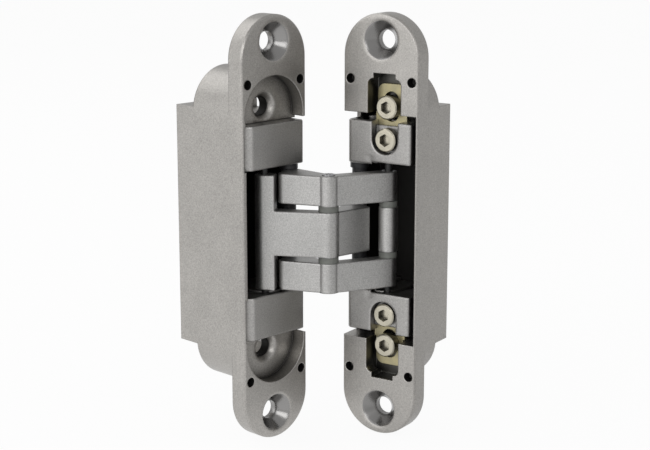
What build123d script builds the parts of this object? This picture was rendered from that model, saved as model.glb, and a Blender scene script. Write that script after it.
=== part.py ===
"""Concealed door hinge: two deep housings joined by a pair of interlaced arms.

The middle of the left plate's back, where it rests in the mortise, is the origin.
X runs across the plate towards the opening side, Y into the left housing and Z up
along the plate. Depths are measured from the plates' faces. Sizes in millimetres.
"""
import os
from math import atan2, copysign, cos, degrees, radians, sin

from build123d import *

# Clearances
seat_gap = 0.02
run_gap = 0.05
side_gap = 0.1
guide_gap = 0.2
free_gap = 0.3
slot_gap = 0.6

# Plates, the same on both sides
plate_length = 160.0
plate_width = 32.0
plate_thickness = 7.0
rim_chamfer = 0.6
mount_inset = 9.8
mount_radius = 3.5
mount_sink_radius = 7.2
spot_across = 13.0
spot_rise = 11.6
spot_radius = 1.8
spot_depth = 4.0

# Linkage: pivot in the housing, knuckle between the housings, slider in the guide
opening_rest = 101.85
opening_full = 180.0
scissor_ratio = -0.381
pivot_inset = 3.51
pivot_depth = 5.84
fork_reach = 20.71
fork_angle = -88.7
slide_reach = 24.1
slide_angle = 124.7
guide_step = 10.0
guide_overrun = 2.0

# Arms, which hang a little below the middle of the plates
arm_drop = 0.6
fork_out = 22.0
fork_in = 10.8
stem_half = 8.45
bar_shortfall = 0.2
bar_inner = 4.3
bar_round = 0.8
knuckle_radius = 3.9
pivot_end_radius = 2.8
slide_radius = 3.6
arm_front = 3.2
arm_back = 2.0
arm_edge = 0.3
fork_web_turn = 25.5
fork_web_reach = 19.2
fork_web_round = 2.5
t_web_turn = -16.5
t_web_reach = 17.8
t_web_round = 0.5

# Pins, sleeves and washers
pivot_pin_radius = 1.5
centre_pin_radius = 2.0
slide_pin_radius = 1.4
pin_cover = 4.2
slide_pin_grip = 3.0
guide_end_room = 0.4
rivet_radius = 2.4
rivet_thickness = 0.35
boss_height = 1.8
boss_radius = 3.5
spacer_radius = 2.8
knuckle_washer_radius = 3.75
barrel_washer_radius = 3.4
barrel_half = 8.6

# Housings behind the plates
left_bay_half = 40.3
bay_end_room = 0.5
end_wall = 2.2
step_rise = 3.6
back_chamfer = 1.2
left_step_depth = 26.8
left_box_depth = 37.5
right_step_depth = 15.5
right_box_depth = 25.0
back_wall = 1.0
open_depth = 9.6

# Left housing
outer_wall = 1.9
seat_wall = 1.0
inner_wall = 2.0
rim_end_rise = 1.2
rim_end_round = 1.2
recess_rim = 1.55
recess_rise = 3.2
recess_depth = 6.0
floor_thickness = 6.0
floor_hole_rise = 5.7
floor_hole_sink = 5.2
hollow_rise = 2.1
hollow_height = 7.6

# Blocks
block_inset = 1.5
block_edge = 0.4
left_block_chamfer = 4.3
left_block_front = 0.3
left_block_back = 24.0
right_block_round = 1.5
right_block_front = 0.5
right_back_room = 0.9
right_outer_room = 1.25
right_inner_room = 1.0
pad_inner = 4.0
pad_height = 1.1
well_width = 11.2
well_floor = 4.0
well_drop = 6.6
shelf_drop = 1.8
scoop_inner = 13.0
scoop_outer = 5.6
scoop_front = 2.6
scoop_back = 13.0
scoop_depth = 2.4

# Height and side adjustment
side_travel = 1.0
height_travel = 2.5
adjust_across = 1.5
adjust_plate_front = 5.5
adjust_plate_thickness = 2.0
adjust_plate_width = 13.2
adjust_neck_width = 11.7
adjust_plate_rise = 8.4
adjust_plate_drop = 4.6
adjust_corner = 3.0
plate_screw_rise = 2.2
block_screw_drop = 6.8
screw_shank_radius = 2.5
plate_head_radius = 4.4
plate_head_front = 1.4
plate_shank_end = 14.0
block_head_radius = 4.4
block_head_front = 0.6
block_shank_end = 9.2
socket_radius = 2.4
socket_depth = 2.2
head_chamfer = 0.5

# Right housing
right_rim = 1.0
right_inner_wall = 1.6
pocket_width = 14.2
pocket_rise = 10.8
pocket_depth = 7.6
shoulder_round = 2.3
throat_width = 9.4
throat_rise = 12.7
lip_thickness = 5.2
undercut_room = 1.3

# Heights from the hinge's middle plane
mount_height = plate_length / 2 - mount_inset
bar_half = fork_out - bar_shortfall
block_low = fork_out + side_gap + boss_height
block_top = left_bay_half - side_gap
pin_reach = block_top - pin_cover
slide_pin_reach = block_low + slide_pin_grip
guide_height = slide_pin_grip + guide_end_room
right_bay_half = block_top + height_travel + bay_end_room
box_half = right_bay_half + end_wall
step_height = left_bay_half + step_rise
spot_height = step_height + spot_rise
left_rim_end = left_bay_half + rim_end_rise
recess_height = left_bay_half + recess_rise
floor_hole_height = left_bay_half + floor_hole_rise
hollow_start = left_bay_half + hollow_rise
hollow_top = hollow_start + hollow_height
well_centre_height = block_top - well_drop
shelf_top = block_top - shelf_drop
block_screw_height = block_top - block_screw_drop
plate_screw_height = right_bay_half + plate_screw_rise
adjust_plate_top = plate_screw_height + adjust_plate_rise
adjust_plate_low = block_screw_height - adjust_plate_drop
undercut_top = adjust_plate_top + height_travel + undercut_room
pocket_top = plate_screw_height + pocket_rise
throat_top = plate_screw_height + throat_rise

# Distances across the plates and depths behind their faces
half_width = plate_width / 2
pivot_across = half_width - pivot_inset
left_block_inner = half_width - block_inset
right_block_inner = half_width - block_inset
right_block_outer = half_width - right_rim - side_travel - right_outer_room
right_block_rear_inner = half_width - right_inner_wall - side_travel - right_inner_room
right_block_back = right_box_depth - back_wall - right_back_room


def offset_point(start, reach, angle):
    """Point at a reach and angle (degrees) from a start point."""
    return (start[0] + reach * cos(radians(angle)), start[1] + reach * sin(radians(angle)))


# Pivot points at the rest opening, seen from above, from the left plate's face
left_pivot = (pivot_across, pivot_depth)
knuckle = offset_point(left_pivot, fork_reach, fork_angle)
left_slide = offset_point(knuckle, slide_reach, slide_angle)


def mirrored(point):
    """Mirror a point in the plane through the knuckle that halves the opening."""
    along = (cos(radians(opening_rest / 2)), sin(radians(opening_rest / 2)))
    across = (point[0] - knuckle[0], point[1] - knuckle[1])
    run = 2 * (across[0] * along[0] + across[1] * along[1])
    return (knuckle[0] + run * along[0] - across[0], knuckle[1] + run * along[1] - across[1])


right_pivot = mirrored(left_pivot)
right_slide = mirrored(left_slide)
left_seat = Location((0, -plate_thickness, 0))
right_seat = left_seat * Location((*mirrored((0, 0)), 0), (0, 0, opening_rest - opening_full))


def slide_point(opening):
    """Place of the slider in its housing at an opening angle."""
    turn = (opening - opening_rest) / (2 + scissor_ratio)
    joint = offset_point(left_pivot, fork_reach, fork_angle + turn)
    return offset_point(joint, slide_reach, slide_angle + (1 + scissor_ratio) * turn)


guide_count = round(opening_full / guide_step)
guide_openings = [-guide_overrun]
guide_openings += [guide_step * index for index in range(1, guide_count)]
guide_openings += [opening_full + guide_overrun]
left_guide = [slide_point(opening) for opening in guide_openings]
right_guide = [(-across, depth) for across, depth in left_guide]
guide_radius = slide_pin_radius + guide_gap


def face_plane(seat, depth):
    """Plane parallel to a plate's face, looking out of it, at a depth behind it."""
    return Plane(seat * Plane.XZ.offset(-depth).location)


def level_plane(seat, height):
    """Level plane of a housing at a height from its middle."""
    return Plane(seat * Plane.XY.offset(height).location)


def arm_plane(height):
    """Level plane of the arms at a height from their middle."""
    return level_plane(left_seat, height - arm_drop)


arm_middle = Plane.XY.offset(-arm_drop)


def bar_corners(start, end, front):
    """Corners of a straight bar between two points, front on its right-hand side."""
    run = Vector(end[0] - start[0], end[1] - start[1]).normalized()
    side = Vector(run.Y, -run.X)
    first = Vector(*start)
    last = Vector(*end)
    return [first + side * front, last + side * front, last - side * arm_back, first - side * arm_back]


def web_corners(pivot, turn, reach):
    """Corners of the web at an arm's short end, front turned off the pivot's line, tip beyond its reach."""
    bearing = degrees(atan2(pivot[1] - knuckle[1], pivot[0] - knuckle[0])) + turn
    start = offset_point(knuckle, arm_front, bearing + copysign(90, turn))
    return [knuckle, start, offset_point(start, 2 * reach, bearing), pivot]


def rim_edges(arm):
    """Straight edges of an arm's flat faces."""
    return arm.faces().filter_by(Axis.Z).edges().filter_by(GeomType.LINE)


# Left housing, one casting
with BuildPart() as left_housing:
    with BuildSketch(face_plane(left_seat, plate_thickness)):
        SlotOverall(plate_length, plate_width, rotation=90)
    extrude(amount=plate_thickness)
    face_edges = left_housing.faces().sort_by(Axis.Y)[0].edges()
    chamfer(face_edges, length=rim_chamfer)
    with BuildSketch(face_plane(left_seat, left_step_depth)):
        SlotOverall(2 * step_height + plate_width, plate_width, rotation=90)
    extrude(amount=left_step_depth - plate_thickness)
    with BuildSketch(face_plane(left_seat, left_box_depth)):
        Rectangle(plate_width, 2 * box_half)
    extrude(amount=left_box_depth - left_step_depth)
    back_edges = left_housing.faces().sort_by(Axis.Y)[-1].edges()
    chamfer(back_edges, length=back_chamfer)
    # Shallow round recesses, then the deep bay of the arms and blocks
    with BuildSketch(face_plane(left_seat, 0)):
        with Locations((0, recess_height), (0, -recess_height)):
            Circle(half_width - recess_rim)
    extrude(amount=-recess_depth, mode=Mode.SUBTRACT)
    with BuildSketch(face_plane(left_seat, 0)):
        with Locations((half_width - inner_wall, 0)):
            Rectangle(plate_width - inner_wall - outer_wall, 2 * left_bay_half,
                      align=(Align.MAX, Align.CENTER))
        for end in (1, -1):
            with Locations((half_width - inner_wall, end * (block_low + left_bay_half) / 2)):
                Rectangle(plate_width - inner_wall - seat_wall, left_bay_half - block_low,
                          align=(Align.MAX, Align.CENTER))
    extrude(amount=-(left_box_depth - back_wall), mode=Mode.SUBTRACT)
    with BuildSketch(face_plane(left_seat, 0)):
        with Locations((half_width, 0)):
            Rectangle(2 * inner_wall, 2 * left_bay_half)
    extrude(amount=-open_depth, mode=Mode.SUBTRACT)
    with BuildSketch(face_plane(left_seat, 0)):
        with Locations((half_width, 0)):
            Rectangle(2 * inner_wall, 2 * left_rim_end)
    extrude(amount=-recess_depth, mode=Mode.SUBTRACT)
    for height in (left_rim_end, -left_rim_end):
        rim_end = face_plane(left_seat, recess_depth / 2).from_local_coords((half_width, height))
        fillet(left_housing.edges().filter_by(Axis.Y).sort_by_distance(rim_end)[0], radius=rim_end_round)
    # Hollow behind each recess floor, open at the back and on the opening side
    for end in (1, -1):
        with BuildSketch(face_plane(left_seat, left_step_depth)):
            with Locations((0, end * step_height)):
                Circle(half_width - outer_wall)
            with Locations((0, end * (hollow_start - half_width))):
                Rectangle(plate_width, plate_width, mode=Mode.SUBTRACT)
            with Locations((half_width / 2, end * (hollow_start + hollow_top) / 2)):
                Rectangle(half_width, hollow_top - hollow_start)
        hollow_depth = left_step_depth - recess_depth - floor_thickness
        extrude(amount=hollow_depth, mode=Mode.SUBTRACT)
    with Locations(face_plane(left_seat, 0)):
        with Locations((0, mount_height), (0, -mount_height)):
            CounterSinkHole(mount_radius, mount_sink_radius, depth=plate_thickness)
    with Locations(face_plane(left_seat, recess_depth)):
        with Locations((0, floor_hole_height), (0, -floor_hole_height)):
            CounterSinkHole(mount_radius, floor_hole_sink, depth=floor_thickness)
    with Locations(face_plane(left_seat, 0)):
        with GridLocations(2 * spot_across, 2 * spot_height, 2, 2):
            Hole(spot_radius, depth=spot_depth)
left_housing.part.label = "left_housing"

# Left guide blocks, fixed in the left housing
with BuildPart() as left_block_upper:
    with BuildSketch(level_plane(left_seat, block_low)):
        with Locations((-half_width + seat_wall + seat_gap, left_block_front)):
            Rectangle(half_width - seat_wall - seat_gap + left_block_inner,
                      open_depth - left_block_front - side_gap, align=(Align.MIN, Align.MIN))
            Rectangle(plate_width - seat_wall - inner_wall - 2 * seat_gap, left_block_back - left_block_front,
                      align=(Align.MIN, Align.MIN))
    extrude(amount=block_top - block_low)
    outer_edge = left_block_upper.edges().filter_by(Axis.Z).sort_by(Axis.Y)[:2].sort_by(Axis.X)[0]
    chamfer(outer_edge, length=left_block_chamfer)
    front_edges = left_block_upper.faces().sort_by(Axis.Y)[0].edges()
    chamfer(front_edges.filter_by(Axis.X), length=block_edge)
    with BuildSketch(level_plane(left_seat, block_low)):
        with BuildLine():
            Spline(*left_guide)
        trace(line_width=2 * guide_radius)
        with Locations(left_guide[0], left_guide[-1]):
            Circle(guide_radius)
    extrude(amount=guide_height, mode=Mode.SUBTRACT)
    with BuildSketch(level_plane(left_seat, block_low)):
        with Locations(left_pivot):
            Circle(pivot_pin_radius + seat_gap)
    extrude(amount=pin_reach - block_low + seat_gap, mode=Mode.SUBTRACT)
left_block_upper.part.label = "left_block_upper"

with BuildPart() as left_block_lower:
    add(mirror(left_block_upper.part, about=Plane.XY, mode=Mode.PRIVATE))
left_block_lower.part.label = "left_block_lower"

# Left pivot: pin, spacer between the fork arms and washers under the blocks
with BuildPart() as left_pivot_pin:
    with BuildSketch(level_plane(left_seat, -pin_reach)):
        with Locations(left_pivot):
            Circle(pivot_pin_radius)
    extrude(amount=2 * pin_reach)
left_pivot_pin.part.label = "left_pivot_pin"

with BuildPart() as left_spacer:
    with BuildSketch(arm_plane(-fork_in + side_gap)):
        with Locations(left_pivot):
            Circle(spacer_radius)
            Circle(pivot_pin_radius + seat_gap, mode=Mode.SUBTRACT)
    extrude(amount=2 * (fork_in - side_gap))
left_spacer.part.label = "left_spacer"

with BuildPart() as left_washer_upper:
    with BuildSketch(level_plane(left_seat, block_low)):
        with Locations(left_pivot):
            Circle(boss_radius)
            Circle(pivot_pin_radius + seat_gap, mode=Mode.SUBTRACT)
    extrude(amount=-boss_height - arm_drop)
left_washer_upper.part.label = "left_washer_upper"

with BuildPart() as left_washer_lower:
    with BuildSketch(level_plane(left_seat, -block_low)):
        with Locations(left_pivot):
            Circle(boss_radius)
            Circle(pivot_pin_radius + seat_gap, mode=Mode.SUBTRACT)
    extrude(amount=boss_height - arm_drop)
left_washer_lower.part.label = "left_washer_lower"

# Fork: two bent arms from the left pivot over the knuckle to the right slider
with BuildPart() as fork_arm_upper:
    with BuildSketch(arm_plane(fork_in)):
        web = web_corners(left_pivot, fork_web_turn, fork_web_reach)
        with BuildLine():
            Polyline(*web, close=True)
        make_face()
        with Locations(knuckle):
            Circle(fork_web_reach, mode=Mode.INTERSECT)
        with BuildLine():
            Polyline(*bar_corners(left_pivot, knuckle, arm_back), close=True)
        make_face()
        with BuildLine():
            Polyline(*bar_corners(knuckle, right_slide, arm_front), close=True)
        make_face()
        with Locations(left_pivot):
            Circle(pivot_end_radius)
        with Locations(knuckle):
            Circle(knuckle_radius)
        with Locations(right_slide):
            Circle(arm_front)
    extrude(amount=fork_out - fork_in)
    web_tip = arm_plane(fork_in).from_local_coords(web[2])
    fillet(fork_arm_upper.edges().filter_by(Axis.Z).sort_by_distance(web_tip)[0], radius=fork_web_round)
    chamfer(rim_edges(fork_arm_upper), length=arm_edge)
    with BuildSketch(arm_plane(fork_in)):
        with Locations(left_pivot):
            Circle(pivot_pin_radius + run_gap)
        with Locations(knuckle):
            Circle(centre_pin_radius + seat_gap)
        with Locations(right_slide):
            Circle(slide_pin_radius + seat_gap)
    extrude(amount=fork_out - fork_in, mode=Mode.SUBTRACT)
fork_arm_upper.part.label = "fork_arm_upper"

with BuildPart() as fork_arm_lower:
    add(mirror(fork_arm_upper.part, about=arm_middle, mode=Mode.PRIVATE))
fork_arm_lower.part.label = "fork_arm_lower"

# Centre pin with riveted ends and its two washers
with BuildPart() as centre_pin:
    with BuildSketch(arm_plane(-fork_out - side_gap)):
        with Locations(knuckle):
            Circle(centre_pin_radius)
    extrude(amount=2 * (fork_out + side_gap))
    for end in (1, -1):
        with BuildSketch(arm_plane(end * (fork_out + seat_gap))):
            with Locations(knuckle):
                Circle(rivet_radius)
        extrude(amount=end * rivet_thickness)
centre_pin.part.label = "centre_pin"

with BuildPart() as knuckle_washer_upper:
    with BuildSketch(arm_plane(stem_half + side_gap)):
        with Locations(knuckle):
            Circle(knuckle_washer_radius)
            Circle(centre_pin_radius + seat_gap, mode=Mode.SUBTRACT)
    extrude(amount=fork_in - stem_half - side_gap)
knuckle_washer_upper.part.label = "knuckle_washer_upper"

with BuildPart() as knuckle_washer_lower:
    add(mirror(knuckle_washer_upper.part, about=arm_middle, mode=Mode.PRIVATE))
knuckle_washer_lower.part.label = "knuckle_washer_lower"

# Right slider: pin through the fork's ends, barrel and its two washers
with BuildPart() as right_slide_pin:
    with BuildSketch(level_plane(left_seat, -slide_pin_reach)):
        with Locations(right_slide):
            Circle(slide_pin_radius)
    extrude(amount=2 * slide_pin_reach)
right_slide_pin.part.label = "right_slide_pin"

with BuildPart() as barrel:
    with BuildSketch(arm_plane(-barrel_half)):
        with Locations(right_slide):
            Circle(slide_radius)
            Circle(slide_pin_radius + seat_gap, mode=Mode.SUBTRACT)
    extrude(amount=2 * barrel_half)
    chamfer(barrel.edges().filter_by(GeomType.CIRCLE).sort_by(SortBy.RADIUS)[-2:], length=arm_edge)
barrel.part.label = "barrel"

with BuildPart() as barrel_washer_upper:
    with BuildSketch(arm_plane(barrel_half)):
        with Locations(right_slide):
            Circle(barrel_washer_radius)
            Circle(slide_pin_radius + seat_gap, mode=Mode.SUBTRACT)
    extrude(amount=fork_in - barrel_half)
barrel_washer_upper.part.label = "barrel_washer_upper"

with BuildPart() as barrel_washer_lower:
    add(mirror(barrel_washer_upper.part, about=arm_middle, mode=Mode.PRIVATE))
barrel_washer_lower.part.label = "barrel_washer_lower"

# T-arm: from the right pivot over the knuckle to the left slider's crossbar
bar_edge = offset_point(left_slide, bar_inner, slide_angle - opening_full)
with BuildPart() as t_arm:
    with BuildSketch(arm_plane(-stem_half)):
        web = web_corners(right_pivot, t_web_turn, t_web_reach)
        with BuildLine():
            Polyline(*web, close=True)
        make_face()
        with Locations(knuckle):
            Circle(t_web_reach, mode=Mode.INTERSECT)
        with BuildLine():
            Polyline(*bar_corners(knuckle, right_pivot, arm_back), close=True)
        make_face()
        with BuildLine():
            Polyline(*bar_corners(left_slide, knuckle, slide_radius), close=True)
        make_face()
        with Locations(right_pivot):
            Circle(pivot_end_radius)
        with Locations(knuckle):
            Circle(knuckle_radius)
    extrude(amount=2 * stem_half)
    web_tip = arm_plane(-stem_half).from_local_coords(web[2])
    fillet(t_arm.edges().filter_by(Axis.Z).sort_by_distance(web_tip)[0], radius=t_web_round)
    chamfer(rim_edges(t_arm), length=arm_edge)
    with BuildSketch(arm_plane(-bar_half)):
        with BuildLine():
            Polyline(*bar_corners(left_slide, bar_edge, slide_radius), close=True)
        make_face()
        with Locations(left_slide):
            Circle(slide_radius)
    extrude(amount=2 * bar_half)
    for height in (stem_half, -stem_half):
        bar_corner = arm_plane(height).from_local_coords(bar_edge)
        fillet(t_arm.edges().sort_by_distance(bar_corner)[0], radius=bar_round)
    bar_ends = t_arm.faces().filter_by(Axis.Z).sort_by(Axis.Z)
    chamfer(bar_ends[0].edges() + bar_ends[-1].edges(), length=arm_edge)
    with BuildSketch(arm_plane(-bar_half)):
        with Locations(right_pivot):
            Circle(pivot_pin_radius + run_gap)
        with Locations(knuckle):
            Circle(centre_pin_radius + run_gap)
        with Locations(left_slide):
            Circle(slide_pin_radius + seat_gap)
    extrude(amount=2 * bar_half, mode=Mode.SUBTRACT)
t_arm.part.label = "t_arm"

with BuildPart() as left_slide_pin:
    with BuildSketch(level_plane(left_seat, -slide_pin_reach)):
        with Locations(left_slide):
            Circle(slide_pin_radius)
    extrude(amount=2 * slide_pin_reach)
left_slide_pin.part.label = "left_slide_pin"

# Right pivot: pin, spacers level with the fork arms and washers under the blocks
with BuildPart() as right_pivot_pin:
    with BuildSketch(level_plane(left_seat, -pin_reach)):
        with Locations(right_pivot):
            Circle(pivot_pin_radius)
    extrude(amount=2 * pin_reach)
right_pivot_pin.part.label = "right_pivot_pin"

with BuildPart() as right_spacer_upper:
    with BuildSketch(arm_plane(stem_half + side_gap)):
        with Locations(right_pivot):
            Circle(spacer_radius)
            Circle(pivot_pin_radius + seat_gap, mode=Mode.SUBTRACT)
    extrude(amount=fork_out - stem_half)
right_spacer_upper.part.label = "right_spacer_upper"

with BuildPart() as right_spacer_lower:
    add(mirror(right_spacer_upper.part, about=arm_middle, mode=Mode.PRIVATE))
right_spacer_lower.part.label = "right_spacer_lower"

with BuildPart() as right_washer_upper:
    with BuildSketch(level_plane(left_seat, block_low)):
        with Locations(right_pivot):
            Circle(boss_radius)
            Circle(pivot_pin_radius + seat_gap, mode=Mode.SUBTRACT)
    extrude(amount=-boss_height - arm_drop)
right_washer_upper.part.label = "right_washer_upper"

with BuildPart() as right_washer_lower:
    with BuildSketch(level_plane(left_seat, -block_low)):
        with Locations(right_pivot):
            Circle(boss_radius)
            Circle(pivot_pin_radius + seat_gap, mode=Mode.SUBTRACT)
    extrude(amount=boss_height - arm_drop)
right_washer_lower.part.label = "right_washer_lower"

# Right guide blocks, which slide sideways on the adjusting plates
slot_half = adjust_plate_width / 2 + side_travel + free_gap
slot_front = adjust_plate_front - side_gap
slot_back = adjust_plate_front + adjust_plate_thickness + side_gap
shank_room = screw_shank_radius + free_gap
with BuildPart() as right_block_upper:
    with BuildSketch(level_plane(right_seat, block_low)):
        with Locations((right_block_outer, right_block_front)):
            Rectangle(right_block_outer + right_block_inner, open_depth - right_block_front - free_gap,
                      align=(Align.MAX, Align.MIN))
            Rectangle(right_block_outer + right_block_rear_inner, right_block_back - right_block_front,
                      align=(Align.MAX, Align.MIN))
    extrude(amount=block_top - block_low)
    corner_edges = right_block_upper.edges().filter_by(Axis.Z).sort_by(right_seat.y_axis)[:2]
    fillet(corner_edges, radius=right_block_round)
    front_edges = right_block_upper.faces().sort_by(right_seat.y_axis)[0].edges()
    chamfer(front_edges.filter_by(right_seat.x_axis), length=block_edge)
    with BuildSketch(level_plane(right_seat, block_low)):
        with Locations((right_block_outer, 0)):
            Rectangle(right_block_outer + pad_inner, right_box_depth, align=(Align.MAX, Align.MIN))
    extrude(amount=pad_height, mode=Mode.SUBTRACT)
    with BuildSketch(face_plane(right_seat, right_block_front)):
        with Locations((adjust_across, well_centre_height)):
            Circle(well_width / 2)
        with Locations((adjust_across, (well_centre_height + block_top) / 2)):
            Rectangle(well_width, block_top - well_centre_height)
    extrude(amount=-(well_floor - right_block_front), mode=Mode.SUBTRACT)
    with BuildSketch(face_plane(right_seat, well_floor)):
        with Locations((adjust_across, (shelf_top + block_top) / 2)):
            Rectangle(well_width, block_top - shelf_top)
    extrude(amount=-(slot_back - well_floor), mode=Mode.SUBTRACT)
    with BuildSketch(face_plane(right_seat, slot_front)):
        with Locations((adjust_across, block_top)):
            Rectangle(2 * slot_half, block_top - adjust_plate_low + free_gap, align=(Align.CENTER, Align.MAX))
    extrude(amount=-(slot_back - slot_front), mode=Mode.SUBTRACT)
    with BuildSketch(face_plane(right_seat, well_floor)):
        with Locations((adjust_across, block_screw_height)):
            SlotCenterToCenter(2 * side_travel, 2 * shank_room)
    extrude(amount=-(block_shank_end + free_gap - well_floor), mode=Mode.SUBTRACT)
    with BuildSketch(level_plane(right_seat, block_top)):
        with Locations((-(scoop_inner + scoop_outer) / 2, (scoop_front + scoop_back) / 2)):
            RectangleRounded(scoop_inner - scoop_outer, scoop_back - scoop_front, scoop_depth)
    extrude(amount=-scoop_depth, mode=Mode.SUBTRACT)
    with BuildSketch(level_plane(right_seat, block_low)):
        with BuildLine():
            Spline(*right_guide)
        trace(line_width=2 * guide_radius)
        with Locations(right_guide[0], right_guide[-1]):
            Circle(guide_radius)
    extrude(amount=guide_height, mode=Mode.SUBTRACT)
    with BuildSketch(level_plane(left_seat, block_low)):
        with Locations(right_pivot):
            Circle(pivot_pin_radius + seat_gap)
    extrude(amount=pin_reach - block_low + seat_gap, mode=Mode.SUBTRACT)
right_block_upper.part.label = "right_block_upper"

with BuildPart() as right_block_lower:
    add(mirror(right_block_upper.part, about=Plane.XY, mode=Mode.PRIVATE))
right_block_lower.part.label = "right_block_lower"

# Adjusting plates, which slide up and down in the right housing
slot_room = screw_shank_radius + slot_gap
with BuildPart() as adjust_plate_upper:
    with BuildSketch(face_plane(right_seat, adjust_plate_front)):
        with Locations((adjust_across, (adjust_plate_top + adjust_plate_low) / 2)):
            RectangleRounded(adjust_neck_width, adjust_plate_top - adjust_plate_low, adjust_corner)
        with Locations((adjust_across, (right_bay_half + adjust_plate_low) / 2)):
            Rectangle(adjust_plate_width, right_bay_half - adjust_plate_low)
        with Locations((adjust_across, plate_screw_height)):
            SlotCenterToCenter(2 * height_travel, 2 * slot_room, rotation=90, mode=Mode.SUBTRACT)
        with Locations((adjust_across, block_screw_height)):
            Circle(screw_shank_radius + run_gap, mode=Mode.SUBTRACT)
    extrude(amount=-adjust_plate_thickness)
adjust_plate_upper.part.label = "adjust_plate_upper"

with BuildPart() as adjust_plate_lower:
    add(mirror(adjust_plate_upper.part, about=Plane.XY, mode=Mode.PRIVATE))
adjust_plate_lower.part.label = "adjust_plate_lower"

# Socket screws: plate screws into the housing, block screws into the adjusting plates
with BuildPart() as plate_screw_upper:
    with BuildSketch(face_plane(right_seat, plate_shank_end)):
        with Locations((adjust_across, plate_screw_height)):
            Circle(screw_shank_radius)
    extrude(amount=plate_shank_end - adjust_plate_front + side_gap)
    with BuildSketch(face_plane(right_seat, adjust_plate_front - side_gap)):
        with Locations((adjust_across, plate_screw_height)):
            Circle(plate_head_radius)
    extrude(amount=adjust_plate_front - side_gap - plate_head_front)
    head_edges = plate_screw_upper.edges().filter_by(GeomType.CIRCLE).sort_by(SortBy.RADIUS)[-2:]
    chamfer(head_edges.sort_by(right_seat.y_axis)[0], length=head_chamfer)
    with BuildSketch(face_plane(right_seat, plate_head_front)):
        with Locations((adjust_across, plate_screw_height)):
            RegularPolygon(socket_radius, 6, rotation=90)
    extrude(amount=-socket_depth, mode=Mode.SUBTRACT)
plate_screw_upper.part.label = "plate_screw_upper"

with BuildPart() as plate_screw_lower:
    add(mirror(plate_screw_upper.part, about=Plane.XY, mode=Mode.PRIVATE))
plate_screw_lower.part.label = "plate_screw_lower"

with BuildPart() as block_screw_upper:
    with BuildSketch(face_plane(right_seat, block_shank_end)):
        with Locations((adjust_across, block_screw_height)):
            Circle(screw_shank_radius)
    extrude(amount=block_shank_end - well_floor + side_gap)
    with BuildSketch(face_plane(right_seat, well_floor - side_gap)):
        with Locations((adjust_across, block_screw_height)):
            Circle(block_head_radius)
    extrude(amount=well_floor - side_gap - block_head_front)
    head_edges = block_screw_upper.edges().filter_by(GeomType.CIRCLE).sort_by(SortBy.RADIUS)[-2:]
    chamfer(head_edges.sort_by(right_seat.y_axis)[0], length=head_chamfer)
    with BuildSketch(face_plane(right_seat, block_head_front)):
        with Locations((adjust_across, block_screw_height)):
            RegularPolygon(socket_radius, 6, rotation=90)
    extrude(amount=-socket_depth, mode=Mode.SUBTRACT)
block_screw_upper.part.label = "block_screw_upper"

with BuildPart() as block_screw_lower:
    add(mirror(block_screw_upper.part, about=Plane.XY, mode=Mode.PRIVATE))
block_screw_lower.part.label = "block_screw_lower"

# Right housing, one casting
with BuildPart() as right_housing:
    with BuildSketch(face_plane(right_seat, plate_thickness)):
        SlotOverall(plate_length, plate_width, rotation=90)
    extrude(amount=plate_thickness)
    face_edges = right_housing.faces().sort_by(right_seat.y_axis)[0].edges()
    chamfer(face_edges, length=rim_chamfer)
    with BuildSketch(face_plane(right_seat, right_step_depth)):
        SlotOverall(2 * step_height + plate_width, plate_width, rotation=90)
    extrude(amount=right_step_depth - plate_thickness)
    with BuildSketch(face_plane(right_seat, right_box_depth)):
        Rectangle(plate_width, 2 * box_half)
    extrude(amount=right_box_depth - right_step_depth)
    back_edges = right_housing.faces().sort_by(right_seat.y_axis)[-1].edges()
    chamfer(back_edges, length=back_chamfer)
    # Deep bay of the arms and blocks, open on the opening side near the face
    with BuildSketch(face_plane(right_seat, 0)):
        with Locations((half_width - right_rim, 0)):
            Rectangle(plate_width - right_rim - right_inner_wall, 2 * right_bay_half,
                      align=(Align.MAX, Align.CENTER))
    extrude(amount=-(right_box_depth - back_wall), mode=Mode.SUBTRACT)
    with BuildSketch(face_plane(right_seat, 0)):
        with Locations((-half_width, 0)):
            Rectangle(2 * right_inner_wall, 2 * right_bay_half, align=(Align.MIN, Align.CENTER))
    extrude(amount=-open_depth, mode=Mode.SUBTRACT)
    # Pocket of each adjusting plate: wide part, narrow throat and the undercut behind the lip
    for end in (1, -1):
        with BuildSketch(face_plane(right_seat, 0)) as pocket_outline:
            with Locations((adjust_across, end * (right_bay_half + pocket_top) / 2)):
                Rectangle(pocket_width, pocket_top - right_bay_half)
            shoulders = pocket_outline.vertices().sort_by(Axis.Y, reverse=end > 0)[:2]
            fillet(shoulders, radius=shoulder_round)
            with Locations((adjust_across, end * (right_bay_half + throat_top) / 2)):
                Rectangle(throat_width, throat_top - right_bay_half)
        extrude(amount=-pocket_depth, mode=Mode.SUBTRACT)
        with BuildSketch(face_plane(right_seat, lip_thickness)):
            with Locations((adjust_across, end * (right_bay_half + undercut_top) / 2)):
                Rectangle(pocket_width, undercut_top - right_bay_half)
        extrude(amount=-(pocket_depth - lip_thickness), mode=Mode.SUBTRACT)
        with BuildSketch(face_plane(right_seat, pocket_depth)):
            with Locations((adjust_across, end * plate_screw_height)):
                Circle(screw_shank_radius + run_gap)
        extrude(amount=-(plate_shank_end + free_gap - pocket_depth), mode=Mode.SUBTRACT)
    with Locations(face_plane(right_seat, 0)):
        with Locations((0, mount_height), (0, -mount_height)):
            CounterSinkHole(mount_radius, mount_sink_radius, depth=plate_thickness)
    with Locations(face_plane(right_seat, 0)):
        with GridLocations(2 * spot_across, 2 * spot_height, 2, 2):
            Hole(spot_radius, depth=spot_depth)
right_housing.part.label = "right_housing"

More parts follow.
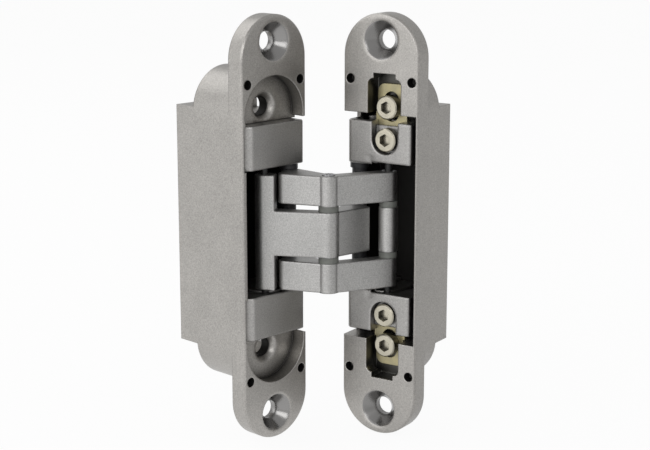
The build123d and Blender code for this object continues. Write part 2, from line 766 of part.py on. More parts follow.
pieces = [
    left_housing, left_block_upper, left_block_lower, left_pivot_pin, left_spacer,
    left_washer_upper, left_washer_lower, fork_arm_upper, fork_arm_lower, centre_pin,
    knuckle_washer_upper, knuckle_washer_lower, right_slide_pin, barrel,
    barrel_washer_upper, barrel_washer_lower, t_arm, left_slide_pin, right_pivot_pin,
    right_spacer_upper, right_spacer_lower, right_washer_upper, right_washer_lower,
    right_block_upper, right_block_lower, adjust_plate_upper, adjust_plate_lower,
    plate_screw_upper, plate_screw_lower, block_screw_upper, block_screw_lower, right_housing,
]
os.makedirs("parts", exist_ok=True)
for piece in pieces:
    export_step(piece.part, f"parts/{piece.part.label}.step")
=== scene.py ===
# %% [markdown]
# # Concealed door hinge
#
# The hinge is two round-ended plates with deep housings behind them, joined by
# bent arms that fold away inside. The solids come ready from the CAD model, so
# this lesson adds what a solid lacks: the light, the finishes, and the punch
# marks that close the riveted pins. Everything is in metres, with the middle of
# the left plate's back at the origin.

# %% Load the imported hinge
from math import pi, radians

import bmesh
import bpy
from mathutils import Matrix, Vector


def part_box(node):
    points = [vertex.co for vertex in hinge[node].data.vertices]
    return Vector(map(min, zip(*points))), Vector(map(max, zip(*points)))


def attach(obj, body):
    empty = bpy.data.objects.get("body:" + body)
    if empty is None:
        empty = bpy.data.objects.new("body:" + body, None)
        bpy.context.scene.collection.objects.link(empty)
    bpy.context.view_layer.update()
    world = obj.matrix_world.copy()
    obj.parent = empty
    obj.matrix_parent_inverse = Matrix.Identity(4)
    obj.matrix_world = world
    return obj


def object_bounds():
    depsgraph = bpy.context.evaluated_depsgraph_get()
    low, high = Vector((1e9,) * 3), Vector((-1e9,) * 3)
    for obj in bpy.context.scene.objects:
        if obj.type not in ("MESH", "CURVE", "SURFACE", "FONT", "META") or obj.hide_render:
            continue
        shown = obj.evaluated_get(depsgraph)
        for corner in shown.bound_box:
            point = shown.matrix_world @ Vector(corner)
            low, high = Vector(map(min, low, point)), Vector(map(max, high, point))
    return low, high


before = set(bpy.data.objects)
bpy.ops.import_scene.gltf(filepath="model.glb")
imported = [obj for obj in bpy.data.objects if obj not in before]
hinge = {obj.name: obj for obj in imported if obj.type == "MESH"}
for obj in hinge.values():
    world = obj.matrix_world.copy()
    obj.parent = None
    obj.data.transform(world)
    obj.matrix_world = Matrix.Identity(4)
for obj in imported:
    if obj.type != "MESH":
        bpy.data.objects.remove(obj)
cad_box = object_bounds()
print("hinge pieces:", len(hinge), "box:", cad_box)

# %% [markdown]
# ## Camera
#
# The photo was taken with a long lens, a little above the middle of the hinge,
# so the camera stands well back. A long lens keeps the two plates nearly
# parallel on the picture. The small upward shift frames the hinge as the photo
# does without tilting the upright edges.

# %% Camera at the photo's angle
look_down, turn_right = 0.2242, 0.7848
scene = bpy.context.scene
scene.view_settings.view_transform = "Standard"
lens = bpy.data.cameras.new("long_lens")
lens.sensor_width = 36.0
lens.lens = 89.42
lens.shift_y = 0.01477
lens.dof.use_dof = False
camera = bpy.data.objects.new("photo_camera", lens)
camera.location = (-0.39873, -0.43219, 0.13166)
camera.rotation_euler = (pi / 2 - look_down, 0, -turn_right)
scene.collection.objects.link(camera)
scene.camera = camera
print("camera stands", round(camera.location.length, 3), "m from the hinge")

# %% [markdown]
# ## Helpers for shader graphs
#
# The floor and every finish are small graphs of nodes, worked out from positions
# on the surface. Linking each node by hand takes many lines, so a few short helpers
# keep the graphs readable: one feeds a socket, some do arithmetic, and the last
# three read a place on the piece, make a noise and stretch a value to a range.

# %% Helpers that feed sockets and do arithmetic


def feed(tree, socket, value):
    """Link a socket to another one, or set it to a plain value."""
    if isinstance(value, bpy.types.NodeSocket):
        tree.links.new(value, socket)
    else:
        socket.default_value = value


def reckon(tree, operation, one, other=0.0):
    """One arithmetic step on values."""
    node = tree.nodes.new("ShaderNodeMath")
    node.operation = operation
    feed(tree, node.inputs[0], one)
    feed(tree, node.inputs[1], other)
    return node.outputs["Value"]


def vector_step(tree, operation, one, other=(0, 0, 0)):
    """The node of one arithmetic step on vectors."""
    node = tree.nodes.new("ShaderNodeVectorMath")
    node.operation = operation
    feed(tree, node.inputs[0], one)
    feed(tree, node.inputs[1], other)
    return node


def reckon_vector(tree, operation, one, other=(0, 0, 0)):
    """One arithmetic step on vectors that gives a vector."""
    return vector_step(tree, operation, one, other).outputs["Vector"]


def along(tree, vector, axis):
    """How far a vector reaches along an axis."""
    return vector_step(tree, "DOT_PRODUCT", vector, axis).outputs["Value"]


def scaled(tree, colour, factor):
    """A colour made darker or lighter by a factor."""
    node = vector_step(tree, "SCALE", colour)
    feed(tree, node.inputs["Scale"], factor)
    return node.outputs["Vector"]


# %% Helpers for coordinates, noise and ranges


def surface_place(tree, output="Object"):
    """Position on the piece, or its normal, in the piece's own axes."""
    return tree.nodes.new("ShaderNodeTexCoord").outputs[output]


def noise(tree, coords, scale, detail):
    """A noise texture on object coordinates, scale in waves to the metre."""
    node = tree.nodes.new("ShaderNodeTexNoise")
    node.inputs["Scale"].default_value = scale
    node.inputs["Detail"].default_value = detail
    feed(tree, node.inputs["Vector"], coords)
    return node.outputs["Fac"]


def spread(tree, value, low, high, start=0.3, end=0.7):
    """Map a value from the range start to end on the range low to high."""
    node = tree.nodes.new("ShaderNodeMapRange")
    feed(tree, node.inputs["Value"], value)
    limits = {"From Min": start, "From Max": end, "To Min": low, "To Max": high}
    for label, limit in limits.items():
        feed(tree, node.inputs[label], limit)
    return node.outputs["Result"]


# %% [markdown]
# ## White tent
#
# A satin casting shows what stands round it. The photo's tones are those of a
# white tent: a face that mirrors the open tent is light, and the left plate,
# which mirrors the other plate, is dark. So the light comes from a plain white
# surround. It is a little dimmer for the metal than for the camera, because the
# photo's background is pure white and its metal is not.

# %% Surround of the tent
tent_for_camera, tent_for_metal = 1.0, 0.60
surround = bpy.data.worlds.new("white_tent")
surround.use_nodes = True
scene.world = surround
tree = surround.node_tree
tree.nodes.clear()
choose = tree.nodes.new("ShaderNodeMixShader")
for number, strength in ((1, tent_for_metal), (2, tent_for_camera)):
    cloth = tree.nodes.new("ShaderNodeBackground")
    cloth.inputs["Color"].default_value = (1, 1, 1, 1)
    cloth.inputs["Strength"].default_value = strength
    feed(tree, choose.inputs[number], cloth.outputs["Background"])
ray_kind = tree.nodes.new("ShaderNodeLightPath")
feed(tree, choose.inputs["Fac"], ray_kind.outputs["Is Camera Ray"])
sky = tree.nodes.new("ShaderNodeOutputWorld")
feed(tree, sky.inputs["Surface"], choose.outputs["Shader"])
print("tent light on the metal:", tent_for_metal)

# %% [markdown]
# ## Soft panels
#
# Three soft lamps help the tent. A large panel far to the left brightens what the
# left housing's side and the right plate mirror, and leaves the left plate's face
# dark. A small one behind and above lights the rounded steps of the housings. One
# near the camera gives the chamfers and rounded edges, which mirror the camera's
# side, their thin light lines.

# %% Panels at the left, above and in front


def soft_panel(name, place, size, watts):
    """A square lamp at a place, turned to the middle of the hinge."""
    panel = bpy.data.lights.new(name, "AREA")
    panel.size = size
    panel.energy = watts
    lamp = bpy.data.objects.new(name, panel)
    lamp.location = place
    lamp.rotation_euler = (-lamp.location).to_track_quat("-Z", "Y").to_euler()
    scene.collection.objects.link(lamp)
    print("lamp:", name, watts, "W")


soft_panel("left_panel", (-2.60, 0.52, 0.45), size=3.6, watts=50.0)
soft_panel("top_panel", (-0.10, 0.70, 0.75), size=0.8, watts=1.9)
soft_panel("front_panel", (-0.75, -0.80, 0.40), size=0.5, watts=1.8)

# %% [markdown]
# ## Floor
#
# The hinge stands on the ends of its plates, on white paper. For the camera and
# for the metal that mirrors it, the paper is mostly plain white with a small share
# of real shading, which keeps the soft shadow under the plates. In the photo the
# right side is a little darker, so the mirrored paper gets dimmer from the hinge
# towards the front right. All other rays meet ordinary pale paper.

# %% Finish of the paper
plain_share = 0.93
paper_white = (0.88, 0.88, 0.88, 1)
dim_paper = 0.71
dim_starts, dim_ends = 0.02, 0.10
front_right = (1, -1, 0)

paper = bpy.data.materials.new("pale_paper")
paper.use_nodes = True
tree = paper.node_tree
tree.nodes.clear()
ray_kind = tree.nodes.new("ShaderNodeLightPath")
camera_ray, mirrored_ray = ray_kind.outputs["Is Camera Ray"], ray_kind.outputs["Is Glossy Ray"]
# Painted shade: the paper's glow seen in the metal fades towards the front right.
how_far = along(tree, surface_place(tree), front_right)
dimming = spread(tree, how_far, 0.0, dim_paper - 1.0, dim_starts, dim_ends)
plain = tree.nodes.new("ShaderNodeEmission")
brightness = reckon(tree, "ADD", reckon(tree, "MULTIPLY", mirrored_ray, dimming), 1.0)
feed(tree, plain.inputs["Strength"], brightness)
shaded = tree.nodes.new("ShaderNodeBsdfDiffuse")
shaded.inputs["Color"].default_value = paper_white
either_ray = reckon(tree, "ADD", camera_ray, mirrored_ray)
both = tree.nodes.new("ShaderNodeMixShader")
feed(tree, both.inputs["Fac"], reckon(tree, "MULTIPLY", either_ray, plain_share))
feed(tree, both.inputs[1], shaded.outputs["BSDF"])
feed(tree, both.inputs[2], plain.outputs["Emission"])
paper_output = tree.nodes.new("ShaderNodeOutputMaterial")
feed(tree, paper_output.inputs["Surface"], both.outputs["Shader"])
print("finish:", paper.name, "with", len(tree.nodes), "nodes")

# %% Paper under the plates
reach = 3.0
gap_below = 0.0005
level = cad_box[0][2] - gap_below
floor_mesh = bpy.data.meshes.new("pale_floor")
corners = [(x * reach, y * reach, level) for x, y in ((-1, -1), (1, -1), (1, 1), (-1, 1))]
floor_mesh.from_pydata(corners, [], [(0, 1, 2, 3)])
floor_mesh.materials.append(paper)
floor = bpy.data.objects.new("pale_floor", floor_mesh)
scene.collection.objects.link(floor)
print("floor at", round(level, 4))

# %% [markdown]
# ## Cast grain
#
# Housings, blocks and arms are zinc castings with a satin coat. Three things give
# that look: a fine grain that breaks up the highlight, a slow cloudiness of the
# coat, and edges that are never quite sharp. They are one shader group, because
# all grey pieces share them. The bevel node rounds the normals at the edges only
# while shading, so the solids keep their exact size.

# %% Helpers for shader groups


def shader_group(name, inputs, outputs):
    """An empty shader group with named sockets, and its two end nodes."""
    group = bpy.data.node_groups.new(name, "ShaderNodeTree")
    for label, kind, value in inputs:
        socket = group.interface.new_socket(label, in_out="INPUT", socket_type=kind)
        socket.default_value = value
    for label, kind in outputs:
        group.interface.new_socket(label, in_out="OUTPUT", socket_type=kind)
    return group, group.nodes.new("NodeGroupInput"), group.nodes.new("NodeGroupOutput")


def group_node(tree, group, values):
    """A shader group placed in a graph, with its inputs set."""
    node = tree.nodes.new("ShaderNodeGroup")
    node.node_tree = group
    for label, value in values.items():
        feed(tree, node.inputs[label], value)
    return node


# %% Grain, clouds and soft edges of the castings
grain_waves, cloud_waves = 2400.0, 75.0
darkest_speck, lightest_speck = 0.80, 1.20
darkest_cloud, lightest_cloud = 0.95, 1.05
uneven_gloss = 0.035
pimple_height = 0.00003
edge_samples = 8
cast_grain, given, made = shader_group(
    "cast_grain",
    [
        ("Coat", "NodeSocketColor", (0.4, 0.4, 0.4, 1)),
        ("Grain", "NodeSocketFloat", 0.3),
        ("Edge radius", "NodeSocketFloat", 0.0005),
        ("Dullness", "NodeSocketFloat", 0.355),
    ],
    [
        ("Colour", "NodeSocketColor"),
        ("Roughness", "NodeSocketFloat"),
        ("Normal", "NodeSocketVector"),
    ],
)
coords = surface_place(cast_grain)
grain = noise(cast_grain, coords, grain_waves, 2.0)
clouds = noise(cast_grain, coords, cloud_waves, 4.0)
speckle = spread(cast_grain, grain, darkest_speck, lightest_speck)
cloudy = spread(cast_grain, clouds, darkest_cloud, lightest_cloud)
tone = reckon(cast_grain, "MULTIPLY", speckle, cloudy)
feed(cast_grain, made.inputs["Colour"], scaled(cast_grain, given.outputs["Coat"], tone))
uneven = spread(cast_grain, clouds, -uneven_gloss, uneven_gloss)
roughness = reckon(cast_grain, "ADD", given.outputs["Dullness"], uneven)
feed(cast_grain, made.inputs["Roughness"], roughness)
soft_edge = cast_grain.nodes.new("ShaderNodeBevel")
soft_edge.samples = edge_samples
feed(cast_grain, soft_edge.inputs["Radius"], given.outputs["Edge radius"])
pimples = cast_grain.nodes.new("ShaderNodeBump")
pimples.inputs["Distance"].default_value = pimple_height
feed(cast_grain, pimples.inputs["Strength"], given.outputs["Grain"])
feed(cast_grain, pimples.inputs["Height"], grain)
feed(cast_grain, pimples.inputs["Normal"], soft_edge.outputs["Normal"])
feed(cast_grain, made.inputs["Normal"], pimples.outputs["Normal"])
print("shader group:", cast_grain.name, "with", len(cast_grain.nodes), "nodes")

# %% [markdown]
# ## Crevices
#
# Little light reaches blind holes, the corner of a recess or a screw's socket,
# so these places get painted shade. The occlusion of a piece by itself finds
# these places. Other pieces don't count, so no painted shade would move away
# from its cause when the hinge folds.

# %% Painted shade in crevices
covered, uncovered = 0.30, 0.85
hidden_samples = 8
crevice_shade, given, made = shader_group(
    "crevice_shade",
    [("Reach", "NodeSocketFloat", 0.004), ("Depth of shade", "NodeSocketFloat", 0.15)],
    [("Open", "NodeSocketFloat")],
)
# Painted shade: the colour darkens where the piece hides its own surface from light.
hidden = crevice_shade.nodes.new("ShaderNodeAmbientOcclusion")
hidden.samples = hidden_samples
hidden.only_local = True
feed(crevice_shade, hidden.inputs["Distance"], given.outputs["Reach"])
deepest = given.outputs["Depth of shade"]
open_share = spread(crevice_shade, hidden.outputs["AO"], deepest, 1.0, covered, uncovered)
feed(crevice_shade, made.inputs["Open"], open_share)
print("shader group:", crevice_shade.name, "with", len(crevice_shade.nodes), "nodes")

# %% [markdown]
# ## Places on a plate
#
# Bays, pockets and holes are known by their place on a plate: how far across,
# how deep behind the face and how high. The right plate is turned, so a helper
# turns the coordinates back about the middle of that plate's face. Two groups use
# it to mask a box behind the face, and round holes that repeat at both ends.

# %% Coordinates across, behind and up a plate
plate_inputs = [("Face", "NodeSocketVector", (0, 0, 0)), ("Turn", "NodeSocketFloat", 0.0)]


def place_on_plate(group, given):
    """Position from the middle of a plate's face, in that plate's own axes."""
    turned_back = group.nodes.new("ShaderNodeVectorRotate")
    turned_back.rotation_type = "Z_AXIS"
    from_face = reckon_vector(group, "SUBTRACT", surface_place(group), given.outputs["Face"])
    feed(group, turned_back.inputs["Vector"], from_face)
    feed(group, turned_back.inputs["Angle"], given.outputs["Turn"])
    return turned_back.outputs["Vector"]


def parts_of(group, vector):
    """The three parts of a vector: across, behind and up."""
    split = group.nodes.new("ShaderNodeSeparateXYZ")
    feed(group, split.inputs["Vector"], vector)
    return split.outputs["X"], split.outputs["Y"], split.outputs["Z"]


# %% Mask of a box behind a plate's face
soft_border = 0.0002
middle_and_half = [
    ("Middle", "NodeSocketVector", (0, 0, 0)),
    ("Half", "NodeSocketVector", (1, 1, 1)),
]
box_mask, given, made = shader_group(
    "box_mask", plate_inputs + middle_and_half, [("Mask", "NodeSocketFloat")]
)
place = place_on_plate(box_mask, given)
from_middle = reckon_vector(box_mask, "SUBTRACT", place, given.outputs["Middle"])
away = reckon_vector(box_mask, "ABSOLUTE", from_middle)
room = reckon_vector(box_mask, "SUBTRACT", given.outputs["Half"], away)
across, behind, up = parts_of(box_mask, room)
least = reckon(box_mask, "MINIMUM", reckon(box_mask, "MINIMUM", across, behind), up)
mask = spread(box_mask, least, 0, 1, -soft_border, soft_border)
feed(box_mask, made.inputs["Mask"], mask)
print("shader group:", box_mask.name, "with", len(box_mask.nodes), "nodes")

# %% Mask of round holes at both ends of a plate
hole_labels = ("Across", "Height", "Radius", "Front", "Back")
hole_sizes = [(label, "NodeSocketFloat", 0.0) for label in hole_labels]
hole_mask, given, made = shader_group(
    "hole_mask", plate_inputs + hole_sizes, [("Mask", "NodeSocketFloat")]
)
across, behind, up = parts_of(hole_mask, place_on_plate(hole_mask, given))
offsets = []
for part, label in ((across, "Across"), (up, "Height")):
    both_ways = reckon(hole_mask, "ABSOLUTE", part)
    offset = reckon(hole_mask, "SUBTRACT", both_ways, given.outputs[label])
    offsets.append(reckon(hole_mask, "POWER", offset, 2.0))
from_axis = reckon(hole_mask, "SQRT", reckon(hole_mask, "ADD", *offsets))
within = reckon(hole_mask, "SUBTRACT", given.outputs["Radius"], from_axis)
past_front = reckon(hole_mask, "SUBTRACT", behind, given.outputs["Front"])
before_back = reckon(hole_mask, "SUBTRACT", given.outputs["Back"], behind)
in_depth = reckon(hole_mask, "MINIMUM", past_front, before_back)
least = reckon(hole_mask, "MINIMUM", within, in_depth)
mask = spread(hole_mask, least, 0, 1, -soft_border / 2, soft_border / 2)
feed(hole_mask, made.inputs["Mask"], mask)
print("shader group:", hole_mask.name, "with", len(hole_mask.nodes), "nodes")

# %% [markdown]
# ## Grey castings
#
# One function makes the satin coat in a given tone, with painted shade in wide
# corners and darker painted shade in narrow seams. Deep bays, pockets and blind
# holes are almost black in the photo, so their masks mix the coat towards black
# as painted shade. Painting them by hand would need a picture; masks work on any
# view. The countersinks are darker and smoother, which is why they show harder
# highlights, and their rims are well rounded, so there the bevel node gets a
# larger radius.

# %% Helpers that join masks and mix tones


def strongest(tree, masks):
    """The strongest of several masks at each place."""
    most = 0.0
    for group, values in masks:
        most = reckon(tree, "MAXIMUM", most, group_node(tree, group, values).outputs["Mask"])
    return most


def mixed(tree, factor, one, other):
    """A colour mixed from two."""
    node = tree.nodes.new("ShaderNodeMix")
    node.data_type = "RGBA"
    # The node has sockets of one name for every kind of value, so numbers pick the colours.
    feed(tree, node.inputs[0], factor)
    feed(tree, node.inputs[6], one)
    feed(tree, node.inputs[7], other)
    return node.outputs[2]


def new_finish(name, metallic):
    """A new material: its graph and its shader."""
    material = bpy.data.materials.new(name)
    material.use_nodes = True
    shader = material.node_tree.nodes["Principled BSDF"]
    shader.inputs["Metallic"].default_value = metallic
    return material, material.node_tree, shader


# %% Satin coat of housings, blocks and arms
# Depths of the painted shade in wide corners and in narrow seams.
corner_shade_depth = 0.12
seam_reach, seam_shade_depth = 0.0012, 0.05
rounded_rim = 0.0020


def satin_cast(name, coat, dullness, grain, edge, reach, places=(), rims=()):
    """Satin zinc casting with painted shade in corners and seams; its places have a tone, some
    of it painted shade, and a change of roughness of their own.
    """
    material, tree, shader = new_finish(name, metallic=1.0)
    if rims:
        wider = reckon(tree, "MULTIPLY", strongest(tree, rims), rounded_rim - edge)
        edge = reckon(tree, "ADD", edge, wider)
    coated = {"Coat": (*coat, 1), "Grain": grain, "Edge radius": edge, "Dullness": dullness}
    surface = group_node(tree, cast_grain, coated)
    # Painted shade: the coat darkens in corners and seams.
    corner = group_node(tree, crevice_shade, {"Reach": reach, "Depth of shade": corner_shade_depth})
    seam = group_node(tree, crevice_shade, {"Reach": seam_reach, "Depth of shade": seam_shade_depth})
    shade = reckon(tree, "MULTIPLY", corner.outputs["Open"], seam.outputs["Open"])
    colour = scaled(tree, surface.outputs["Colour"], shade)
    roughness = surface.outputs["Roughness"]
    for tone, change, masks in places:
        mask = strongest(tree, masks)
        colour = mixed(tree, mask, colour, tone)
        roughness = reckon(tree, "ADD", roughness, reckon(tree, "MULTIPLY", mask, change))
    feed(tree, shader.inputs["Base Color"], colour)
    feed(tree, shader.inputs["Roughness"], roughness)
    feed(tree, shader.inputs["Normal"], surface.outputs["Normal"])
    return material


# %% Holes, bays and pockets of the two plates
left_plate = {"Face": (0, -0.007, 0), "Turn": 0.0}
right_plate = {"Face": (0.030169, -0.031496, 0), "Turn": radians(78.15)}


def round_hole(across, height, radius, front, back):
    """Measures of a round hole that repeats at both ends of a plate."""
    return dict(zip(hole_labels, (across, height, radius, front, back)))


# In metres: across the plate, height, radius, and depth of the front and back.
spots = round_hole(0.013, 0.0555, 0.0019, 0.0004, 0.0043)
countersinks = round_hole(0.0, 0.0702, 0.0074, 0.0001, 0.0068)
sink_rims = round_hole(0.0, 0.0702, 0.0092, -0.001, 0.0066)
floor_bores = round_hole(0.0, 0.0460, 0.0036, 0.0077, 0.0122)
floor_rims = round_hole(0.0, 0.0460, 0.0074, 0.0056, 0.0100)
left_bay = {"Middle": (0, 0.0190, 0), "Half": (0.0143, 0.0183, 0.0404)}
right_bay = {"Middle": (0.0003, 0.0123, 0), "Half": (0.0149, 0.0119, 0.0405)}
right_notch = {"Middle": (0.0110, 0.0123, 0), "Half": (0.0042, 0.0119, 0.0433)}
pockets = {"Middle": (0.0015, 0.0044, 0), "Half": (0.0073, 0.0038, 0.0583)}
print("countersinks:", countersinks)

# %% Tones of these places
# Painted shade: near black in the deep bays, blind holes and bores, lighter in the pockets.
deep_shade, rougher = (0.06, 0.058, 0.056, 1), 0.25
cut_metal, smoother = (0.29, 0.285, 0.28, 1), -0.15
pocket_shade = (0.11, 0.108, 0.10, 1)


def holes(plate, *kinds):
    """Masks of kinds of holes in a plate."""
    return [(hole_mask, plate | kind) for kind in kinds]


def boxes(plate, *kinds):
    """Masks of boxes behind a plate's face."""
    return [(box_mask, plate | kind) for kind in kinds]


left_places = [
    (cut_metal, smoother, holes(left_plate, countersinks)),
    (deep_shade, rougher, boxes(left_plate, left_bay) + holes(left_plate, spots, floor_bores)),
]
right_deep_shaded = boxes(right_plate, right_bay, right_notch) + holes(right_plate, spots)
right_places = [
    (cut_metal, smoother, holes(right_plate, countersinks)),
    (pocket_shade, 0.0, boxes(right_plate, pockets)),
    (deep_shade, rougher, right_deep_shaded),
]
left_rims = holes(left_plate, sink_rims, floor_rims)
right_rims = holes(right_plate, sink_rims)
print("toned places:", len(left_places), "on the left,", len(right_places), "on the right")

# %% Grey finishes
housing_grey = (0.400, 0.386, 0.366)
block_grey = (0.390, 0.382, 0.370)
arm_grey = (0.45, 0.445, 0.435)
housing_coat = {
    "coat": housing_grey, "dullness": 0.36, "grain": 0.3, "edge": 0.0006, "reach": 0.008,
}
finishes = {
    "left_housing": satin_cast(
        "satin_left_housing", **housing_coat, places=left_places, rims=left_rims
    ),
    "right_housing": satin_cast(
        "satin_right_housing", **housing_coat, places=right_places, rims=right_rims
    ),
    "block": satin_cast(
        "satin_block", block_grey, dullness=0.38, grain=0.3, edge=0.0012, reach=0.003
    ),
    "arm": satin_cast(
        "satin_arm", arm_grey, dullness=0.44, grain=0.45, edge=0.0009, reach=0.0015
    ),
}
print("grey finishes:", [finish.name for finish in finishes.values()])

# %% [markdown]
# ## Zinc plating, steel and bushes
#
# The adjusting plates are yellow zinc-plated steel and the screws a paler cream.
# The plating drifts in hue from bath to bath, so a slow noise mixes two tones.
# The screws' heads are bright on the end and have painted shade round the side,
# which the normal along the screw's axis tells apart. Every one of these finishes
# also has painted shade in its small corners, such as a screw's socket. Pins are
# turned steel: a noise stretched along the pin draws faint rings. The bushes are
# dark plastic, and the thin washers a greenish grey one.

# %% Plated, turned and moulded finishes
first_ends, second_starts = 0.35, 0.65
uneven_plating = 0.05
# Painted shade in sockets and small corners, and on the sides of the screw heads.
small_reach, small_shade_depth = 0.0015, 0.06
small_edge, small_samples = 0.0002, 4
shaded_side = 0.16
side_ends, end_starts = 0.2, 0.6


def two_tone(name, first, second, waves, metallic, roughness, stretch=(1, 1, 1), axis=None):
    """A finish that drifts between two tones, with painted shade in its small corners and,
    along an axis, on the sides.
    """
    material, tree, shader = new_finish(name, metallic)
    coords = reckon_vector(tree, "MULTIPLY", surface_place(tree), stretch)
    drift = noise(tree, coords, waves, 3.0)
    tones = tree.nodes.new("ShaderNodeValToRGB")
    steps = ((first_ends, first), (second_starts, second))
    for stop, (position, tone) in zip(tones.color_ramp.elements, steps):
        stop.position = position
        stop.color = (*tone, 1)
    feed(tree, tones.inputs["Fac"], drift)
    corner = group_node(tree, crevice_shade, {"Reach": small_reach, "Depth of shade": small_shade_depth})
    shade = corner.outputs["Open"]
    # Painted shade: the sides across the axis are darker than the ends.
    if axis:
        end_face = reckon(tree, "ABSOLUTE", along(tree, surface_place(tree, "Normal"), axis))
        bright_end = spread(tree, end_face, shaded_side, 1.0, side_ends, end_starts)
        shade = reckon(tree, "MULTIPLY", shade, bright_end)
    feed(tree, shader.inputs["Base Color"], scaled(tree, tones.outputs["Color"], shade))
    uneven = spread(tree, drift, roughness - uneven_plating, roughness + uneven_plating)
    feed(tree, shader.inputs["Roughness"], uneven)
    soft = tree.nodes.new("ShaderNodeBevel")
    soft.samples = small_samples
    soft.inputs["Radius"].default_value = small_edge
    feed(tree, shader.inputs["Normal"], soft.outputs["Normal"])
    return material


# %% Tones of plates, screws, pins, bushes and washers
rings = (1, 1, 40)
screw_axis = (-0.97869, -0.20535, 0)
finishes["yellow_zinc"] = two_tone(
    "yellow_zinc", (0.48, 0.425, 0.25), (0.40, 0.365, 0.24),
    waves=220, metallic=0.9, roughness=0.36,
)
finishes["screw"] = two_tone(
    "cream_zinc", (0.60, 0.56, 0.46), (0.53, 0.50, 0.41),
    waves=260, metallic=0.95, roughness=0.30, axis=screw_axis,
)
finishes["pin"] = two_tone(
    "turned_steel", (0.52, 0.52, 0.53), (0.42, 0.42, 0.43),
    waves=60, metallic=1.0, roughness=0.32, stretch=rings,
)
finishes["slide_pin"] = two_tone(
    "greased_steel", (0.05, 0.05, 0.05), (0.03, 0.03, 0.03),
    waves=60, metallic=0.6, roughness=0.35, stretch=rings,
)
finishes["bush"] = two_tone(
    "dark_bush", (0.035, 0.035, 0.038), (0.022, 0.022, 0.024),
    waves=300, metallic=0.0, roughness=0.45,
)
finishes["washer"] = two_tone(
    "green_grey_washer", (0.16, 0.165, 0.15), (0.12, 0.125, 0.113),
    waves=300, metallic=0.0, roughness=0.5,
)
print("finishes:", len(finishes))

# %% [markdown]
# ## Which piece gets which finish
#
# The pieces' names tell what they are, so a short list of words is enough. The
# first word that a name holds decides: a slide pin is met before other pins, and
# a screw of a block before the block itself. What is left over is an arm.

# %% Give every piece its finish
words = {
    "left_housing": "left_housing", "right_housing": "right_housing",
    "slide_pin": "slide_pin", "pin": "pin", "screw": "screw", "adjust_plate": "yellow_zinc",
    "knuckle_washer": "washer", "barrel_washer": "washer", "spacer": "bush", "washer": "bush",
    "block": "block",
}


def finish_for(piece):
    """The finish of a piece by its name."""
    return finishes[next((words[word] for word in words if word in piece), "arm")]


for name, piece in hinge.items():
    piece.data.materials.clear()
    piece.data.materials.append(finish_for(name))
    print(name, "is", piece.data.materials[0].name)

# %% [markdown]
# ## Star punches
#
# The centre pin is closed at both ends with a star punch, which leaves a ring of
# small ridges that catch the light. The right slide pin is staked into the fork
# in the same way. One ridge repeated round a circle is a job for Geometry Nodes:
# a circle of points, a low four-sided cone on each, turned outwards, then made
# real and given the steel.

# %% Geometry Nodes: inputs of a ring of punched ridges
star_inputs = [
    ("Ridges", "NodeSocketInt", 8),
    ("Ring radius", "NodeSocketFloat", 0.0012),
    ("Ridge length", "NodeSocketFloat", 0.0005),
    ("Ridge height", "NodeSocketFloat", 0.0002),
]
punch = bpy.data.node_groups.new("star_punch", "GeometryNodeTree")
sockets = punch.interface
sockets.new_socket("Geometry", in_out="INPUT", socket_type="NodeSocketGeometry")
for label, kind, value in star_inputs:
    sockets.new_socket(label, in_out="INPUT", socket_type=kind).default_value = value
sockets.new_socket("Steel", in_out="INPUT", socket_type="NodeSocketMaterial")
sockets.new_socket("Geometry", in_out="OUTPUT", socket_type="NodeSocketGeometry")
print("sizes of a ring:", [label for label, _, _ in star_inputs])

# %% Geometry Nodes: ridges set on a circle
ridge_sides = 4
ridge_shape = (1.3, 0.45, 1.0)
nodes = punch.nodes
given, made = nodes.new("NodeGroupInput"), nodes.new("NodeGroupOutput")
ring = nodes.new("GeometryNodeMeshCircle")
feed(punch, ring.inputs["Vertices"], given.outputs["Ridges"])
feed(punch, ring.inputs["Radius"], given.outputs["Ring radius"])
ridge = nodes.new("GeometryNodeMeshCone")
ridge.inputs["Vertices"].default_value = ridge_sides
feed(punch, ridge.inputs["Radius Bottom"], given.outputs["Ridge length"])
feed(punch, ridge.inputs["Depth"], given.outputs["Ridge height"])
outwards = nodes.new("FunctionNodeAlignRotationToVector")
outwards.axis = "X"
point = nodes.new("GeometryNodeInputPosition")
feed(punch, outwards.inputs["Vector"], point.outputs["Position"])
set_ridges = nodes.new("GeometryNodeInstanceOnPoints")
set_ridges.inputs["Scale"].default_value = ridge_shape
feed(punch, set_ridges.inputs["Points"], ring.outputs["Mesh"])
feed(punch, set_ridges.inputs["Instance"], ridge.outputs["Mesh"])
feed(punch, set_ridges.inputs["Rotation"], outwards.outputs["Rotation"])
real = nodes.new("GeometryNodeRealizeInstances")
feed(punch, real.inputs["Geometry"], set_ridges.outputs["Instances"])
steel = nodes.new("GeometryNodeSetMaterial")
feed(punch, steel.inputs["Geometry"], real.outputs["Geometry"])
feed(punch, steel.inputs["Material"], given.outputs["Steel"])
feed(punch, made.inputs["Geometry"], steel.outputs["Geometry"])
print("geometry group:", punch.name, "with", len(nodes), "nodes")

# %% One ring, baked to a mesh


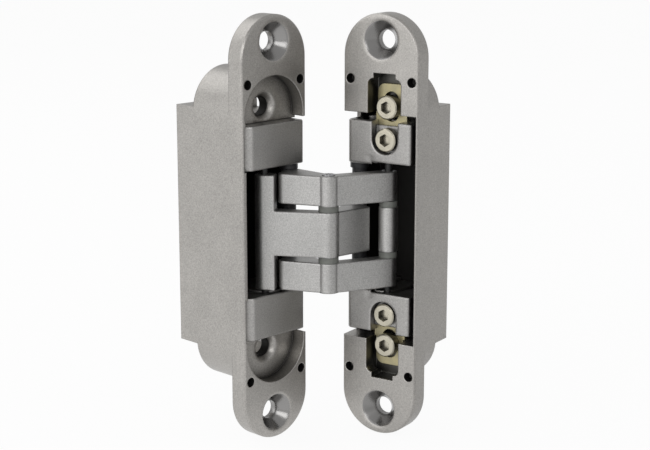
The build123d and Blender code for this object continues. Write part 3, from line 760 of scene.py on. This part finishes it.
def punched_ring(name, ridges, ring_radius, ridge_length, ridge_height):
    """Mesh of one ring of ridges, baked from the geometry group."""
    holder = bpy.data.objects.new(name, bpy.data.meshes.new(name))
    scene.collection.objects.link(holder)
    modifier = holder.modifiers.new("star", "NODES")
    modifier.node_group = punch
    wanted = {
        "Ridges": ridges, "Ring radius": ring_radius, "Ridge length": ridge_length,
        "Ridge height": ridge_height, "Steel": finishes["pin"],
    }
    for socket in punch.interface.items_tree:
        if socket.in_out == "INPUT" and socket.name in wanted:
            modifier[socket.identifier] = wanted[socket.name]
    ready = holder.evaluated_get(bpy.context.evaluated_depsgraph_get())
    mesh = bpy.data.meshes.new_from_object(ready)
    holder.modifiers.clear()
    bpy.data.objects.remove(holder)
    return mesh


rivet_star = punched_ring(
    "rivet_star", ridges=9, ring_radius=0.00125, ridge_length=0.00062, ridge_height=0.00022
)
stake_star = punched_ring(
    "stake_star", ridges=12, ring_radius=0.00225, ridge_length=0.00045, ridge_height=0.00018
)
for star in (rivet_star, stake_star):
    print("ring of", len(star.polygons), "faces")

# %% [markdown]
# ## Marks in their places
#
# The rivet's ends are those of the centre pin. The slide pin is staked where it
# comes through the outer faces of the fork arms. The lower marks are mirrored, so
# their faces are turned round again. All four are one mesh that rides on the fork.

# %% Punch marks on the centre pin and round the slide pin


def middle_of(piece):
    """Middle of a piece's box, seen from above, and its lowest and highest level."""
    low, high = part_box(piece)
    return (low[0] + high[0]) / 2, (low[1] + high[1]) / 2, low[2], high[2]


rivet_x, rivet_y, pin_low, pin_high = middle_of("centre_pin")
stake_x, stake_y, _, _ = middle_of("right_slide_pin")
fork_top = middle_of("fork_arm_upper")[3]
fork_low = middle_of("fork_arm_lower")[2]
upright, mirrored = 1, -1
marked_ends = [
    (rivet_star, rivet_x, rivet_y, pin_high, upright),
    (rivet_star, rivet_x, rivet_y, pin_low, mirrored),
    (stake_star, stake_x, stake_y, fork_top, upright),
    (stake_star, stake_x, stake_y, fork_low, mirrored),
]
gathered = bmesh.new()
for star, x, y, z, way in marked_ends:
    copy = star.copy()
    copy.transform(Matrix.Translation((x, y, z)) @ Matrix.Diagonal((1, 1, way, 1)))
    if way == mirrored:
        copy.flip_normals()
    gathered.from_mesh(copy)
marks_mesh = bpy.data.meshes.new("star_punch_marks")
gathered.to_mesh(marks_mesh)
gathered.free()
marks_mesh.materials.append(finishes["pin"])
marks = bpy.data.objects.new("star_punch_marks", marks_mesh)
scene.collection.objects.link(marks)
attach(marks, "fork")
print("punch marks:", len(marks_mesh.polygons), "faces")
